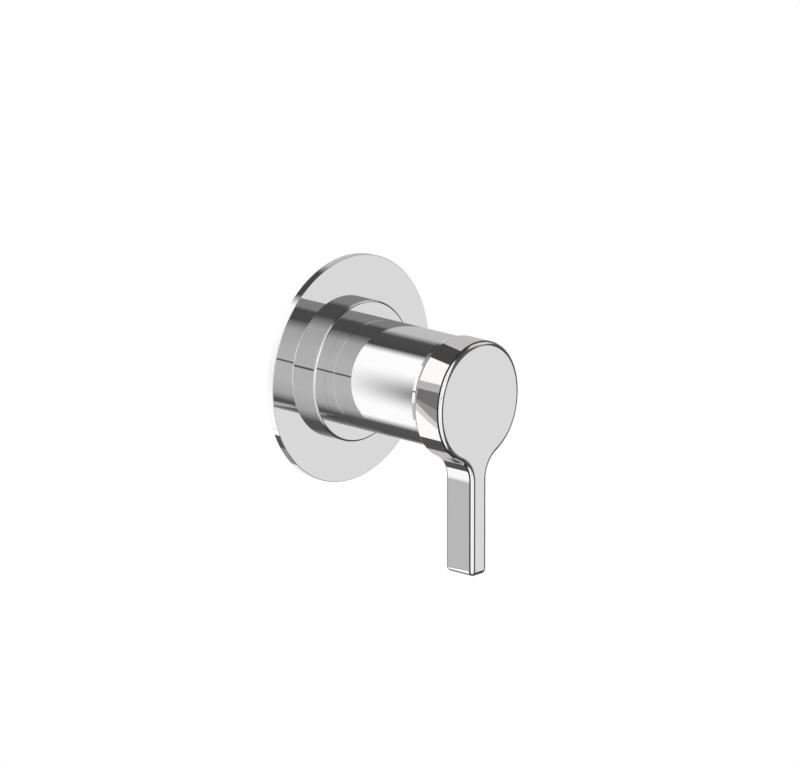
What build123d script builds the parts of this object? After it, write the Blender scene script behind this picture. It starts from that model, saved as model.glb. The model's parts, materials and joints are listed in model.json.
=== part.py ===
from build123d import *
import os
from math import cos, hypot, radians, sin, sqrt, tan

# Wall-mounted single-lever shower mixer with its concealed valve, in millimetres.
# The wall face is Y = 0, the room lies towards -Y and +Z is up.
# A depth d is measured from the wall face into the room, so it lies at Y = -d.
# At rest the lever hangs straight down: closed, at middle temperature.

# Fits and clearances
slip_fit = 0.05
running_fit = 0.08
sleeve_fit = 0.2
tilt_clearance = 0.4
ball_clearance = 0.3

# Lever travel
flow_angle = 22.0
temperature_angle = 45.0

# Wall flange and its gasket
flange_radius = 45.0
flange_thickness = 3.0
flange_edge = 0.5
gasket_width = 5.0
gasket_margin = 2.5
gasket_thickness = 1.4

# Collar that stands on the flange
collar_width = 6.0
collar_length = 6.0
collar_edge = 0.8
spigot_width = 3.0
spigot_setback = 0.5
collar_cord_radius = 1.0

# Sleeve over the valve neck
sleeve_wall = 2.0
sleeve_chamfer = 1.0
sleeve_tail = 4.0
sleeve_lip = 2.0
sleeve_cord_radius = 0.9
sleeve_cord_depth = 8.0

# Cartridge, from its seat towards the room
cartridge_radius = 17.5
seat_depth = 14.5
base_flange = 3.0
base_floor = 1.0
disc_rim = 1.5
disc_rim_wall = 1.0
fixed_disc_thickness = 4.0
moving_disc_spare = 1.2
moving_disc_thickness = 4.0
carrier_thickness = 6.0
swivel_gap = 0.3
swivel_length = 9.0
swivel_cheek_wall = 5.2
swivel_neck_proud = 1.5
swivel_cheek = 4.3
housing_wall = 2.2
housing_roof = 2.0
housing_roof_width = 4.3
roof_gap = 0.2
limiter_thickness = 2.0
limiter_width = 3.8
limiter_lug_height = 2.0
limiter_lug_angle = 8.0
limiter_spare_angle = 1.0

# Water ports through the seat, the base and the fixed disc
inlet_port_x = 5.5
inlet_port_z = -6.0
outlet_port_z = 6.5
port_radius = 3.0
seal_inner = 3.2
seal_width = 1.4
seal_thickness = 1.4
chamber_throat = 4.8
chamber_lobe = 9.3
chamber_lobe_floor = 3.0
chamber_height = 2.2
disc_key_width = 2.8
disc_key_depth = 1.2
disc_key_root = 0.5

# Locating pegs under the base and under the disc carrier
base_peg_x = 10.0
base_peg_z = 6.0
base_peg_radius = 1.5
base_peg_length = 2.5
carrier_peg_x = 7.5
carrier_peg_radius = 1.4
carrier_peg_length = 1.2
peg_hole_spare = 0.2

# Spindle and its pivot pin
spindle_width = 8.0
spindle_hub_radius = 4.6
spindle_arm = 8.5
spindle_arm_radius = 1.9
spindle_ball_radius = 2.5
pivot_height = 6.7
pin_radius = 1.5
pin_setback = 4.2
slot_length = 15.2

# Cartridge nut and cover cap
nut_thread = 6.3
nut_thread_width = 0.8
nut_bore_gap = 0.6
nut_nose = 3.1
nut_nose_width = 1.3
nut_slot_width = 4.0
nut_slot_depth = 1.6
cap_thickness = 1.4
cap_setback = 0.5
cap_rise = 0.8
cap_thread_gap = 0.2

# Handle: a head that drops a little below its upper round, and a narrow blade of one depth
handle_gap = 0.8
head_overhang = 1.0
head_depth = 13.7
head_drop = 2.2
front_edge = 1.35
back_edge = 0.5
blade_width = 8.6
blade_reach = 70.6
blade_root = 11.0
blade_tip_corner = 2.2
front_wall = 2.5
boss_radius = 9.0
grub_web = 8.0
grub_radius = 2.0
grub_length = 8.0
grub_key = 1.25
grub_key_depth = 2.0
plug_length = 3.0
plug_setback = 0.3

# Concealed valve body
neck_wall = 2.2
wall_cover = 10.0
block_radius = 25.0
block_length = 30.0
block_edge = 1.2
port_reach = 42.0
port_boss_radius = 13.5
port_boss_edge = 1.0
thread_radius = 9.3
thread_length = 15.0
passage_radius = 4.2
passage_offset = 4.5
passage_stop = 6.0
outlet_stop = 7.0
lug_circle_radius = 38.0
lug_radius = 6.0
lug_hole_radius = 2.75
lug_root = 4.0
lug_thickness = 5.0

# Travel of the discs, half of it above the axis at rest
tilt = radians(flow_angle)
disc_travel = spindle_arm * sin(tilt)
disc_offset = disc_travel / 2

# Radii that follow from the cartridge, inwards and outwards
chamber_radius = cartridge_radius + 2 * slip_fit
neck_radius = chamber_radius + neck_wall
sleeve_bore = neck_radius + sleeve_fit
sleeve_radius = sleeve_bore + sleeve_wall
collar_bore = sleeve_radius + sleeve_fit
collar_radius = sleeve_radius + collar_width
spigot_radius = collar_bore + spigot_width
flange_hole = spigot_radius + slip_fit
gasket_outer = flange_radius - gasket_margin
gasket_inner = gasket_outer - gasket_width
head_radius = sleeve_radius + head_overhang
housing_bore = cartridge_radius - housing_wall
fixed_disc_radius = housing_bore - 2 * slip_fit - disc_rim_wall
moving_disc_radius = housing_bore - disc_offset - moving_disc_spare
swivel_radius = housing_bore - running_fit
swivel_neck_radius = housing_bore - housing_roof_width
cheek_inner = swivel_radius - swivel_cheek_wall
carrier_half_width = cheek_inner - running_fit
nut_radius = chamber_radius + nut_thread_width
limiter_inner = swivel_neck_radius + ball_clearance
limiter_outer = limiter_inner + limiter_width
limiter_lug_radius = swivel_neck_radius + limiter_lug_height
nut_bore = limiter_outer + nut_bore_gap
nut_nose_radius = nut_bore + nut_nose_width

# Depths that follow from the cartridge seat outwards
base_shoulder = seat_depth + base_flange
disc_seat = base_shoulder + base_floor
disc_plane = disc_seat + fixed_disc_thickness
carrier_back = disc_plane + moving_disc_thickness
carrier_front = carrier_back + carrier_thickness
swivel_back = carrier_front + swivel_gap
swivel_front = swivel_back + swivel_length
roof_back = swivel_front + roof_gap
housing_front = roof_back + housing_roof
swivel_neck_front = housing_front + swivel_neck_proud
pivot_depth = swivel_back + pivot_height
ball_depth = pivot_depth - spindle_arm
neck_front = housing_front + nut_thread
lip_front = neck_front + sleeve_lip
nut_front = neck_front + nut_nose
cap_back = nut_front + cap_thread_gap
cap_front = cap_back + cap_thickness
sleeve_front = cap_front + cap_setback
collar_front = flange_thickness + collar_length
head_back = sleeve_front + handle_gap
head_front = head_back + head_depth
spindle_end = head_front - front_wall

# Room for the tilting handle over the sleeve and the cap
sleeve_reach = sleeve_front - pivot_depth
cavity_radius = hypot(sleeve_radius, sleeve_reach) + tilt_clearance
cavity_floor = pivot_depth + sleeve_reach * cos(tilt) + sleeve_radius * sin(tilt) + tilt_clearance
cap_reach = cap_front - pivot_depth
spindle_swing = cap_reach * tan(tilt) + spindle_width / 2 / cos(tilt)
cap_hole = hypot(spindle_width / 2, spindle_swing) + tilt_clearance
cap_under_boss = (boss_radius + cap_reach * sin(tilt)) / cos(tilt)
boss_back = pivot_depth + cap_reach * cos(tilt) + cap_under_boss * sin(tilt) + tilt_clearance
web_reach = sqrt(cavity_radius**2 - (boss_back - pivot_depth) ** 2)
grub_depth = (boss_back + spindle_end) / 2

# Concealed body, behind the wall face
block_front = -wall_cover
block_back = block_front - block_length
port_depth = (block_front + block_back) / 2

inlet_ports = [(-inlet_port_x, inlet_port_z), (inlet_port_x, inlet_port_z)]
water_ports = inlet_ports + [(0, outlet_port_z)]
base_pegs = [(-base_peg_x, base_peg_z), (base_peg_x, base_peg_z)]
carrier_pegs = [(-carrier_peg_x, disc_offset), (carrier_peg_x, disc_offset)]

# Mouths of the body's threaded connections, each facing outwards.
# The waterways lie off the threads' axes, at -Y of the sketches:
# low for the inlets, near the seat for the outlet.
hot_mouth = Plane(origin=(-port_reach, -port_depth, 0), x_dir=(0, -1, 0), z_dir=(-1, 0, 0))
cold_mouth = Plane(origin=(port_reach, -port_depth, 0), x_dir=(0, 1, 0), z_dir=(1, 0, 0))
outlet_mouth = Plane(origin=(0, -port_depth, port_reach), x_dir=(1, 0, 0), z_dir=(0, 0, 1))


def band(inner, outer, back, front, mode=Mode.ADD):
    """Half section of a turned ring on the XY plane: radii along X, depths along -Y."""
    with Locations((inner, -front)):
        Rectangle(outer - inner, front - back, align=(Align.MIN, Align.MIN), mode=mode)


def cord(radius, depth, cord_radius):
    """Half section of an O-ring's cord on the XY plane."""
    with Locations((radius, -depth)):
        Circle(cord_radius)


def sector(radius, half_angle):
    """Pie-shaped face about the axis, opening upwards, on a plane that faces the room."""
    far_x = 3 * radius * sin(radians(half_angle))
    far_z = 3 * radius * cos(radians(half_angle))
    Circle(radius)
    Polygon((0, 0), (far_x, far_z), (-far_x, far_z), align=None, mode=Mode.INTERSECT)


def front_rim(part):
    """Largest circular edge at the front of a turned part."""
    return part.edges().filter_by(GeomType.CIRCLE).group_by(Axis.Y)[0].sort_by(SortBy.RADIUS)[-1]


os.makedirs("parts", exist_ok=True)

# Wall flange, with a groove in its back for the gasket
with BuildPart() as wall_flange:
    with BuildSketch(Plane.XY):
        band(flange_hole, flange_radius, 0, flange_thickness)
        band(gasket_inner, gasket_outer, 0, gasket_thickness, Mode.SUBTRACT)
    revolve(axis=Axis.Y)
    fillet(front_rim(wall_flange), flange_edge)
wall_flange.part.label = "wall_flange"
export_step(wall_flange.part, "parts/wall_flange.step")

with BuildPart() as flange_gasket:
    with BuildSketch(Plane.XY):
        band(gasket_inner + slip_fit, gasket_outer - slip_fit, 0, gasket_thickness)
    revolve(axis=Axis.Y)
flange_gasket.part.label = "flange_gasket"
export_step(flange_gasket.part, "parts/flange_gasket.step")

# Collar, pressed into the flange by its spigot and sealed on the sleeve by an O-ring
collar_cord_depth = flange_thickness + collar_length / 2
collar_groove = sleeve_radius + 2 * collar_cord_radius + 2 * slip_fit
with BuildPart() as collar_ring:
    with BuildSketch(Plane.XY):
        band(collar_bore, collar_radius, flange_thickness, collar_front)
        band(collar_bore, spigot_radius, spigot_setback, flange_thickness)
        band(
            collar_bore,
            collar_groove,
            collar_cord_depth - collar_cord_radius - slip_fit,
            collar_cord_depth + collar_cord_radius + slip_fit,
            Mode.SUBTRACT,
        )
    revolve(axis=Axis.Y)
    fillet(front_rim(collar_ring), collar_edge)
collar_ring.part.label = "collar_ring"
export_step(collar_ring.part, "parts/collar_ring.step")

with BuildPart() as collar_o_ring:
    with BuildSketch(Plane.XY):
        cord(sleeve_radius + collar_cord_radius + slip_fit, collar_cord_depth, collar_cord_radius)
    revolve(axis=Axis.Y)
collar_o_ring.part.label = "collar_o_ring"
export_step(collar_o_ring.part, "parts/collar_o_ring.step")

# Sleeve: an inner lip rests on the neck, and the cover cap screws down on that lip
with BuildPart() as sleeve:
    with BuildSketch(Plane.XY):
        band(nut_radius + sleeve_fit, sleeve_radius, -sleeve_tail, sleeve_front)
        band(0, sleeve_bore, -sleeve_tail, neck_front, Mode.SUBTRACT)
        band(0, sleeve_bore, lip_front, sleeve_front, Mode.SUBTRACT)
    revolve(axis=Axis.Y)
    chamfer(front_rim(sleeve), sleeve_chamfer)
sleeve.part.label = "sleeve"
export_step(sleeve.part, "parts/sleeve.step")

sleeve_groove = sleeve_bore - 2 * sleeve_cord_radius - 2 * slip_fit
with BuildPart() as sleeve_o_ring:
    with BuildSketch(Plane.XY):
        cord(sleeve_bore - sleeve_cord_radius - slip_fit, sleeve_cord_depth, sleeve_cord_radius)
    revolve(axis=Axis.Y)
sleeve_o_ring.part.label = "sleeve_o_ring"
export_step(sleeve_o_ring.part, "parts/sleeve_o_ring.step")

# Concealed brass body: block, neck, three threaded connections and four fixing lugs
with BuildPart() as valve_body:
    with BuildSketch(Plane.XY):
        band(0, block_radius, block_back, block_front)
        band(0, neck_radius, block_front, neck_front)
        band(
            sleeve_groove,
            neck_radius,
            sleeve_cord_depth - sleeve_cord_radius - slip_fit,
            sleeve_cord_depth + sleeve_cord_radius + slip_fit,
            Mode.SUBTRACT,
        )
    revolve(axis=Axis.Y)
    block_rims = valve_body.edges().filter_by(GeomType.CIRCLE).group_by(SortBy.RADIUS)[-1]
    chamfer(block_rims.sort_by(Axis.Y)[0], block_edge)
    for mouth in (hot_mouth, cold_mouth, outlet_mouth):
        with BuildSketch(mouth):
            Circle(port_boss_radius)
        extrude(amount=-port_reach)
        mouth_rim = valve_body.edges().filter_by(GeomType.CIRCLE).sort_by_distance(mouth.origin)[0]
        chamfer(mouth_rim, port_boss_edge)
    with BuildSketch(Plane.XZ.offset(block_back)) as lugs:
        with PolarLocations(lug_circle_radius / 2, 4, start_angle=45):
            SlotCenterToCenter(lug_circle_radius, 2 * lug_radius)
        Circle(block_radius)
        lug_roots = [v for v in lugs.vertices() if abs(hypot(v.X, v.Y) - block_radius) < slip_fit]
        fillet(lug_roots, lug_root)
    extrude(amount=lug_thickness)
    with BuildSketch(Plane.XZ.offset(block_back)):
        with PolarLocations(lug_circle_radius, 4, start_angle=45):
            Circle(lug_hole_radius)
    extrude(amount=lug_thickness, mode=Mode.SUBTRACT)
    for mouth, stop in ((hot_mouth, passage_stop), (cold_mouth, passage_stop), (outlet_mouth, outlet_stop)):
        with BuildSketch(mouth):
            Circle(thread_radius)
        extrude(amount=-thread_length, mode=Mode.SUBTRACT)
        with BuildSketch(mouth):
            with Locations((0, -passage_offset)):
                Circle(passage_radius)
        extrude(amount=stop - port_reach, mode=Mode.SUBTRACT)
    with BuildSketch(Plane.XY):
        band(0, chamber_radius, seat_depth, neck_front)
        band(0, nut_radius + slip_fit, housing_front, neck_front)
    revolve(axis=Axis.Y, mode=Mode.SUBTRACT)
    with BuildSketch(Plane.XZ.offset(seat_depth)):
        with Locations(*water_ports):
            Circle(port_radius)
    extrude(amount=port_depth + passage_radius / 2 - seat_depth, mode=Mode.SUBTRACT)
    with BuildSketch(Plane.XZ.offset(seat_depth)):
        with Locations(*base_pegs):
            Circle(base_peg_radius + slip_fit)
    extrude(amount=-base_peg_length - peg_hole_spare, mode=Mode.SUBTRACT)
valve_body.part.label = "valve_body"
export_step(valve_body.part, "parts/valve_body.step")

# Cartridge base: ports, seats for the seals on both faces, and keys for the fixed disc
seal_outer = seal_inner + seal_width
with BuildPart() as cartridge_base:
    with BuildSketch(Plane.XY):
        band(0, cartridge_radius, seat_depth, base_shoulder)
        band(0, housing_bore - slip_fit, base_shoulder, disc_seat + disc_rim)
        band(0, fixed_disc_radius + slip_fit, disc_seat, disc_seat + disc_rim, Mode.SUBTRACT)
    revolve(axis=Axis.Y)
    with BuildSketch(Plane.XZ.offset(disc_seat)):
        with PolarLocations(fixed_disc_radius - disc_key_depth, 2):
            Rectangle(disc_key_depth + disc_key_root, disc_key_width, align=(Align.MIN, Align.CENTER))
    extrude(amount=disc_rim)
    with BuildSketch(Plane.XZ.offset(seat_depth)):
        with Locations(*base_pegs):
            Circle(base_peg_radius)
    extrude(amount=-base_peg_length)
    with BuildSketch(Plane.XZ.offset(seat_depth)):
        with Locations(*water_ports):
            Circle(port_radius)
    extrude(amount=disc_seat - seat_depth, mode=Mode.SUBTRACT)
    for seat, direction in ((seat_depth, 1), (disc_seat, -1)):
        with BuildSketch(Plane.XZ.offset(seat)):
            with Locations(*water_ports):
                Circle(seal_outer + slip_fit)
        extrude(amount=direction * seal_thickness, mode=Mode.SUBTRACT)
cartridge_base.part.label = "cartridge_base"
export_step(cartridge_base.part, "parts/cartridge_base.step")

# Rubber rings round the ports: one set on the body's seat, one under the fixed disc
with BuildPart() as port_seals:
    with BuildSketch(Plane.XZ.offset(seat_depth)):
        with Locations(*water_ports):
            Circle(seal_outer)
            Circle(seal_inner, mode=Mode.SUBTRACT)
    extrude(amount=seal_thickness)
port_seals.part.label = "port_seals"
export_step(port_seals.part, "parts/port_seals.step")

with BuildPart() as disc_seals:
    with BuildSketch(Plane.XZ.offset(disc_seat)):
        with Locations(*water_ports):
            Circle(seal_outer)
            Circle(seal_inner, mode=Mode.SUBTRACT)
    extrude(amount=-seal_thickness)
disc_seals.part.label = "disc_seals"
export_step(disc_seals.part, "parts/disc_seals.step")

# Ceramic discs: the fixed one carries the ports, the moving one the mixing chamber
with BuildPart() as fixed_disc:
    with BuildSketch(Plane.XZ.offset(disc_seat)):
        Circle(fixed_disc_radius)
        with PolarLocations(fixed_disc_radius, 2):
            Rectangle(2 * (disc_key_depth + slip_fit), disc_key_width + 2 * slip_fit, mode=Mode.SUBTRACT)
        with Locations(*water_ports):
            Circle(port_radius, mode=Mode.SUBTRACT)
    extrude(amount=fixed_disc_thickness)
fixed_disc.part.label = "fixed_disc"
export_step(fixed_disc.part, "parts/fixed_disc.step")

with BuildPart() as moving_disc:
    with BuildSketch(Plane.XZ.offset(disc_plane)):
        with Locations((0, disc_offset)):
            Circle(moving_disc_radius)
    extrude(amount=moving_disc_thickness)
    with BuildSketch(Plane.XZ.offset(disc_plane)):
        Circle(chamber_lobe)
        with Locations((0, chamber_lobe_floor)):
            Rectangle(2 * chamber_lobe, 2 * chamber_lobe, align=(Align.CENTER, Align.MAX), mode=Mode.SUBTRACT)
        Circle(chamber_throat)
    extrude(amount=chamber_height, mode=Mode.SUBTRACT)
    with BuildSketch(Plane.XZ.offset(carrier_back)):
        with Locations(*carrier_pegs):
            Circle(carrier_peg_radius + slip_fit)
    extrude(amount=-carrier_peg_length - peg_hole_spare, mode=Mode.SUBTRACT)
moving_disc.part.label = "moving_disc"
export_step(moving_disc.part, "parts/moving_disc.step")

# Carrier that the spindle's ball pushes, with two flats that run between the swivel's cheeks
with BuildPart() as disc_carrier:
    with BuildSketch(Plane.XZ.offset(carrier_back)):
        with Locations((0, disc_offset)):
            Circle(moving_disc_radius)
            Rectangle(2 * carrier_half_width, 2 * moving_disc_radius, mode=Mode.INTERSECT)
    extrude(amount=carrier_thickness)
    with BuildSketch(Plane.XZ.offset(carrier_back)):
        with Locations(*carrier_pegs):
            Circle(carrier_peg_radius)
    extrude(amount=-carrier_peg_length)
    with BuildSketch(Plane.XZ.offset(carrier_front)):
        Circle(spindle_ball_radius + ball_clearance)
    extrude(amount=ball_depth - spindle_ball_radius - ball_clearance - carrier_front, mode=Mode.SUBTRACT)
disc_carrier.part.label = "disc_carrier"
export_step(disc_carrier.part, "parts/disc_carrier.step")

with BuildPart() as cartridge_housing:
    with BuildSketch(Plane.XY):
        band(housing_bore, cartridge_radius, base_shoulder, housing_front)
        band(swivel_neck_radius + running_fit, housing_bore, roof_back, housing_front)
    revolve(axis=Axis.Y)
cartridge_housing.part.label = "cartridge_housing"
export_step(cartridge_housing.part, "parts/cartridge_housing.step")

# Swivel: turns in the housing, holds the pivot pin and guides the carrier
lug_back = housing_front + ball_clearance
with BuildPart() as swivel:
    with BuildSketch(Plane.XY):
        band(0, swivel_radius, swivel_back, swivel_front)
        band(0, swivel_neck_radius, swivel_front, swivel_neck_front)
    revolve(axis=Axis.Y)
    with BuildSketch(Plane.XZ.offset(swivel_back)):
        Circle(swivel_radius)
        Rectangle(2 * cheek_inner, 2 * swivel_radius, mode=Mode.SUBTRACT)
    extrude(amount=-swivel_cheek)
    with BuildSketch(Plane.XZ.offset(lug_back)):
        sector(limiter_lug_radius, limiter_lug_angle)
    extrude(amount=swivel_neck_front - lug_back)
    with BuildSketch(Plane.XZ.offset(swivel_back)):
        Rectangle(spindle_width + 2 * running_fit, slot_length)
    extrude(amount=swivel_neck_front - swivel_back, mode=Mode.SUBTRACT)
    with BuildSketch(Plane.YZ):
        with Locations((-pivot_depth, 0)):
            Circle(pin_radius + slip_fit)
    extrude(amount=swivel_radius, both=True, mode=Mode.SUBTRACT)
swivel.part.label = "swivel"
export_step(swivel.part, "parts/swivel.step")

with BuildPart() as pivot_pin:
    with BuildSketch(Plane.YZ):
        with Locations((-pivot_depth, 0)):
            Circle(pin_radius)
    extrude(amount=swivel_radius - pin_setback, both=True)
pivot_pin.part.label = "pivot_pin"
export_step(pivot_pin.part, "parts/pivot_pin.step")

# Ring on the housing whose two ends stop the swivel's lug at full hot and full cold
with BuildPart() as limiter_ring:
    with BuildSketch(Plane.XZ.offset(housing_front)):
        Circle(limiter_outer)
        Circle(limiter_inner, mode=Mode.SUBTRACT)
    extrude(amount=limiter_thickness)
    with BuildSketch(Plane.XZ.offset(housing_front)):
        sector(
            limiter_lug_radius + ball_clearance,
            temperature_angle + limiter_lug_angle + limiter_spare_angle,
        )
    extrude(amount=limiter_thickness, mode=Mode.SUBTRACT)
limiter_ring.part.label = "limiter_ring"
export_step(limiter_ring.part, "parts/limiter_ring.step")

# Nut that holds the cartridge in the neck; its nose takes the cover cap
with BuildPart() as cartridge_nut:
    with BuildSketch(Plane.XY):
        band(nut_bore, nut_radius, housing_front, neck_front)
        band(nut_bore, nut_nose_radius, neck_front, nut_front)
    revolve(axis=Axis.Y)
    with BuildSketch(Plane.XZ.offset(nut_front)):
        with PolarLocations(nut_nose_radius, 4, start_angle=45):
            Rectangle(4 * nut_nose_width, nut_slot_width)
    extrude(amount=-nut_slot_depth, mode=Mode.SUBTRACT)
cartridge_nut.part.label = "cartridge_nut"
export_step(cartridge_nut.part, "parts/cartridge_nut.step")

# Cover cap in the sleeve's mouth, slightly coned towards its spindle hole
cap_radius = sleeve_bore - sleeve_fit
with BuildPart() as cover_cap:
    with BuildSketch(Plane.XY):
        with BuildLine():
            Polyline(
                (cap_hole, -cap_front),
                (cap_radius, -(cap_front - cap_rise)),
                (cap_radius, -lip_front),
                (nut_nose_radius + slip_fit, -lip_front),
                (nut_nose_radius + slip_fit, -cap_back),
                (cap_hole, -cap_back),
                close=True,
            )
        make_face()
    revolve(axis=Axis.Y)
cover_cap.part.label = "cover_cap"
export_step(cover_cap.part, "parts/cover_cap.step")

# Spindle: square shank for the handle, hub on the pin, arm and ball below
with BuildPart() as spindle:
    with BuildSketch(Plane.XZ.offset(pivot_depth)):
        Rectangle(spindle_width, spindle_width)
    extrude(amount=spindle_end - pivot_depth)
    with BuildSketch(Plane.YZ):
        with Locations((-pivot_depth, 0)):
            Circle(spindle_hub_radius)
    extrude(amount=spindle_width / 2, both=True)
    with BuildSketch(Plane.XZ.offset(ball_depth)):
        Circle(spindle_arm_radius)
    extrude(amount=spindle_arm)
    with Locations((0, -ball_depth, 0)):
        Sphere(spindle_ball_radius)
    with BuildSketch(Plane.YZ):
        with Locations((-pivot_depth, 0)):
            Circle(pin_radius + running_fit)
    extrude(amount=spindle_width, both=True, mode=Mode.SUBTRACT)
spindle.part.label = "spindle"
export_step(spindle.part, "parts/spindle.step")

# Handle: hollow behind so that it can tilt over the sleeve, with a boss on the spindle
with BuildPart() as handle:
    with BuildSketch(Plane.XZ.offset(head_back)) as outline:
        Circle(head_radius)
        Rectangle(2 * head_radius, head_drop, align=(Align.CENTER, Align.MAX))
        with Locations((0, -head_drop)):
            Circle(head_radius)
        Rectangle(blade_width, blade_reach, align=(Align.CENTER, Align.MAX))
        fillet(outline.vertices().group_by(Axis.Y)[1], blade_root)
        fillet(outline.vertices().group_by(Axis.Y)[0], blade_tip_corner)
    extrude(amount=head_depth)
    fillet(handle.faces().sort_by(Axis.Y)[0].edges(), front_edge)
    fillet(handle.faces().sort_by(Axis.Y)[-1].edges(), back_edge)
    with BuildSketch(Plane.XY):
        with Locations((0, -pivot_depth)):
            Circle(cavity_radius)
        band(0, cavity_radius, head_back - handle_gap, cavity_floor, Mode.INTERSECT)
        band(0, boss_radius, boss_back, cavity_floor, Mode.SUBTRACT)
    revolve(axis=Axis.Y, mode=Mode.SUBTRACT)
    with BuildSketch(Plane.XZ.offset(boss_back)):
        Rectangle(web_reach, grub_web, align=(Align.MIN, Align.CENTER))
    extrude(amount=cavity_floor - boss_back)
    with BuildSketch(Plane.XZ.offset(boss_back)):
        Rectangle(spindle_width + 2 * slip_fit, spindle_width + 2 * slip_fit)
    extrude(amount=spindle_end + slip_fit - boss_back, mode=Mode.SUBTRACT)
    with BuildSketch(Plane.YZ):
        with Locations((-grub_depth, 0)):
            Circle(grub_radius)
    extrude(amount=head_radius, mode=Mode.SUBTRACT)
handle.part.label = "handle"
export_step(handle.part, "parts/handle.step")

# Grub screw that bears on the spindle's flat, and the plug that closes its hole
with BuildPart() as grub_screw:
    with BuildSketch(Plane.YZ.offset(spindle_width / 2)):
        with Locations((-grub_depth, 0)):
            Circle(grub_radius - slip_fit)
    extrude(amount=grub_length)
    with BuildSketch(Plane.YZ.offset(spindle_width / 2 + grub_length)):
        with Locations((-grub_depth, 0)):
            RegularPolygon(grub_key, 6, major_radius=False)
    extrude(amount=-grub_key_depth, mode=Mode.SUBTRACT)
grub_screw.part.label = "grub_screw"
export_step(grub_screw.part, "parts/grub_screw.step")

with BuildPart() as grub_plug:
    with BuildSketch(Plane.YZ.offset(head_radius - plug_setback)):
        with Locations((-grub_depth, 0)):
            Circle(grub_radius - slip_fit)
    extrude(amount=-plug_length)
grub_plug.part.label = "grub_plug"
export_step(grub_plug.part, "parts/grub_plug.step")
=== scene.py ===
"""Looks of a wall-mounted, single-lever shower mixer: chrome outside, brass and a ceramic cartridge within.

Everything is in metres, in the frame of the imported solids: the wall face is Y = 0, the room lies towards -Y
and +Z is up. A depth d is measured from the wall face into the room, so it lies at Y = -d.
"""

import json
from math import acos, atan2, copysign, cos, degrees, hypot, pi, radians, sin, sqrt, tan

import bmesh
import bpy
from bpy.props import FloatProperty, FloatVectorProperty, IntProperty, PointerProperty
from mathutils import Matrix, Vector


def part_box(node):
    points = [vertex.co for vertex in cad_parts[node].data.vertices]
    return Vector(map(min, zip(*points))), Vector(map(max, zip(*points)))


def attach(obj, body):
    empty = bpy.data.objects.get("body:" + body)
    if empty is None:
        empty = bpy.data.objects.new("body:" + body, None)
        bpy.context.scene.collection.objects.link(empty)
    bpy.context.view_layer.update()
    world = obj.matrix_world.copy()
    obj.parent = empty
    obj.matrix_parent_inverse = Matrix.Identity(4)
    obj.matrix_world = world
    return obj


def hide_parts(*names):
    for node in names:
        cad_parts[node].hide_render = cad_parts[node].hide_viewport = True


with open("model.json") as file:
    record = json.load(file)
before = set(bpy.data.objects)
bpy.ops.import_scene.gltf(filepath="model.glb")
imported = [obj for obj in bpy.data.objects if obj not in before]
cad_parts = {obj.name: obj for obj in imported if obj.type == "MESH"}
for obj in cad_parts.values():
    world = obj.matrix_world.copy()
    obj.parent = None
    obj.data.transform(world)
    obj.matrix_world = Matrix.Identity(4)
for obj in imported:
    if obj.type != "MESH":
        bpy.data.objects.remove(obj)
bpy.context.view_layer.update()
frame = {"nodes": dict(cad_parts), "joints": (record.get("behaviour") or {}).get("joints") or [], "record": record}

bl_info = {
    "name": "Shower mixer looks",
    "version": (1, 0, 0),
    "blender": (4, 5, 0),
    "location": "View3D > Sidebar > Mixer",
    "description": "Chrome, brass and cartridge finishes of a wall-mounted shower mixer, with its stage",
    "category": "Object",
}

SLOT_OF = {row["node"]: row["material_slot"] for row in frame["record"]["subparts"]}
BODY_OF = {node: body for body, nodes in frame["record"]["behaviour"]["bodies"].items() for node in nodes}
JOINTS = {joint["name"]: joint for joint in frame["joints"]}

# Fits and clearances of the pieces that are modelled again
SLIP_FIT = 0.00005
SHUT_GAP = 0.00003
CAP_GAP = 0.0002
TILT_CLEARANCE = 0.0004

# Forms inside the handle
BOSS_RADIUS = 0.009
GRUB_WEB = 0.008
GRUB_HOLE = 0.002

# Pipe threads: a flank's rise in thread depths for each pitch, and the width of the countersink
FLANK_SLOPE = 2.5
COUNTERSINK = 0.0002

# Steps of the curves, the angle past which an edge stays sharp, and the reach of the head's blended sides
SMOOTH_ANGLE = radians(32)
FILLET_STEPS = 8
HEAD_STEPS = 192
HEAD_BLEND = radians(40)
ROOT_STEPS = 24
TIP_STEPS = 10
DOME_STEPS = 12
HOLLOW_STEPS = 96
HOLE_STEPS = 48
THREAD_STEPS = 120
PITCH_STEPS = 10
STAGE_STEPS = 64

# Points closer than this are one point
MERGE = 1e-7


# Sizes and colours that a user would change


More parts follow.
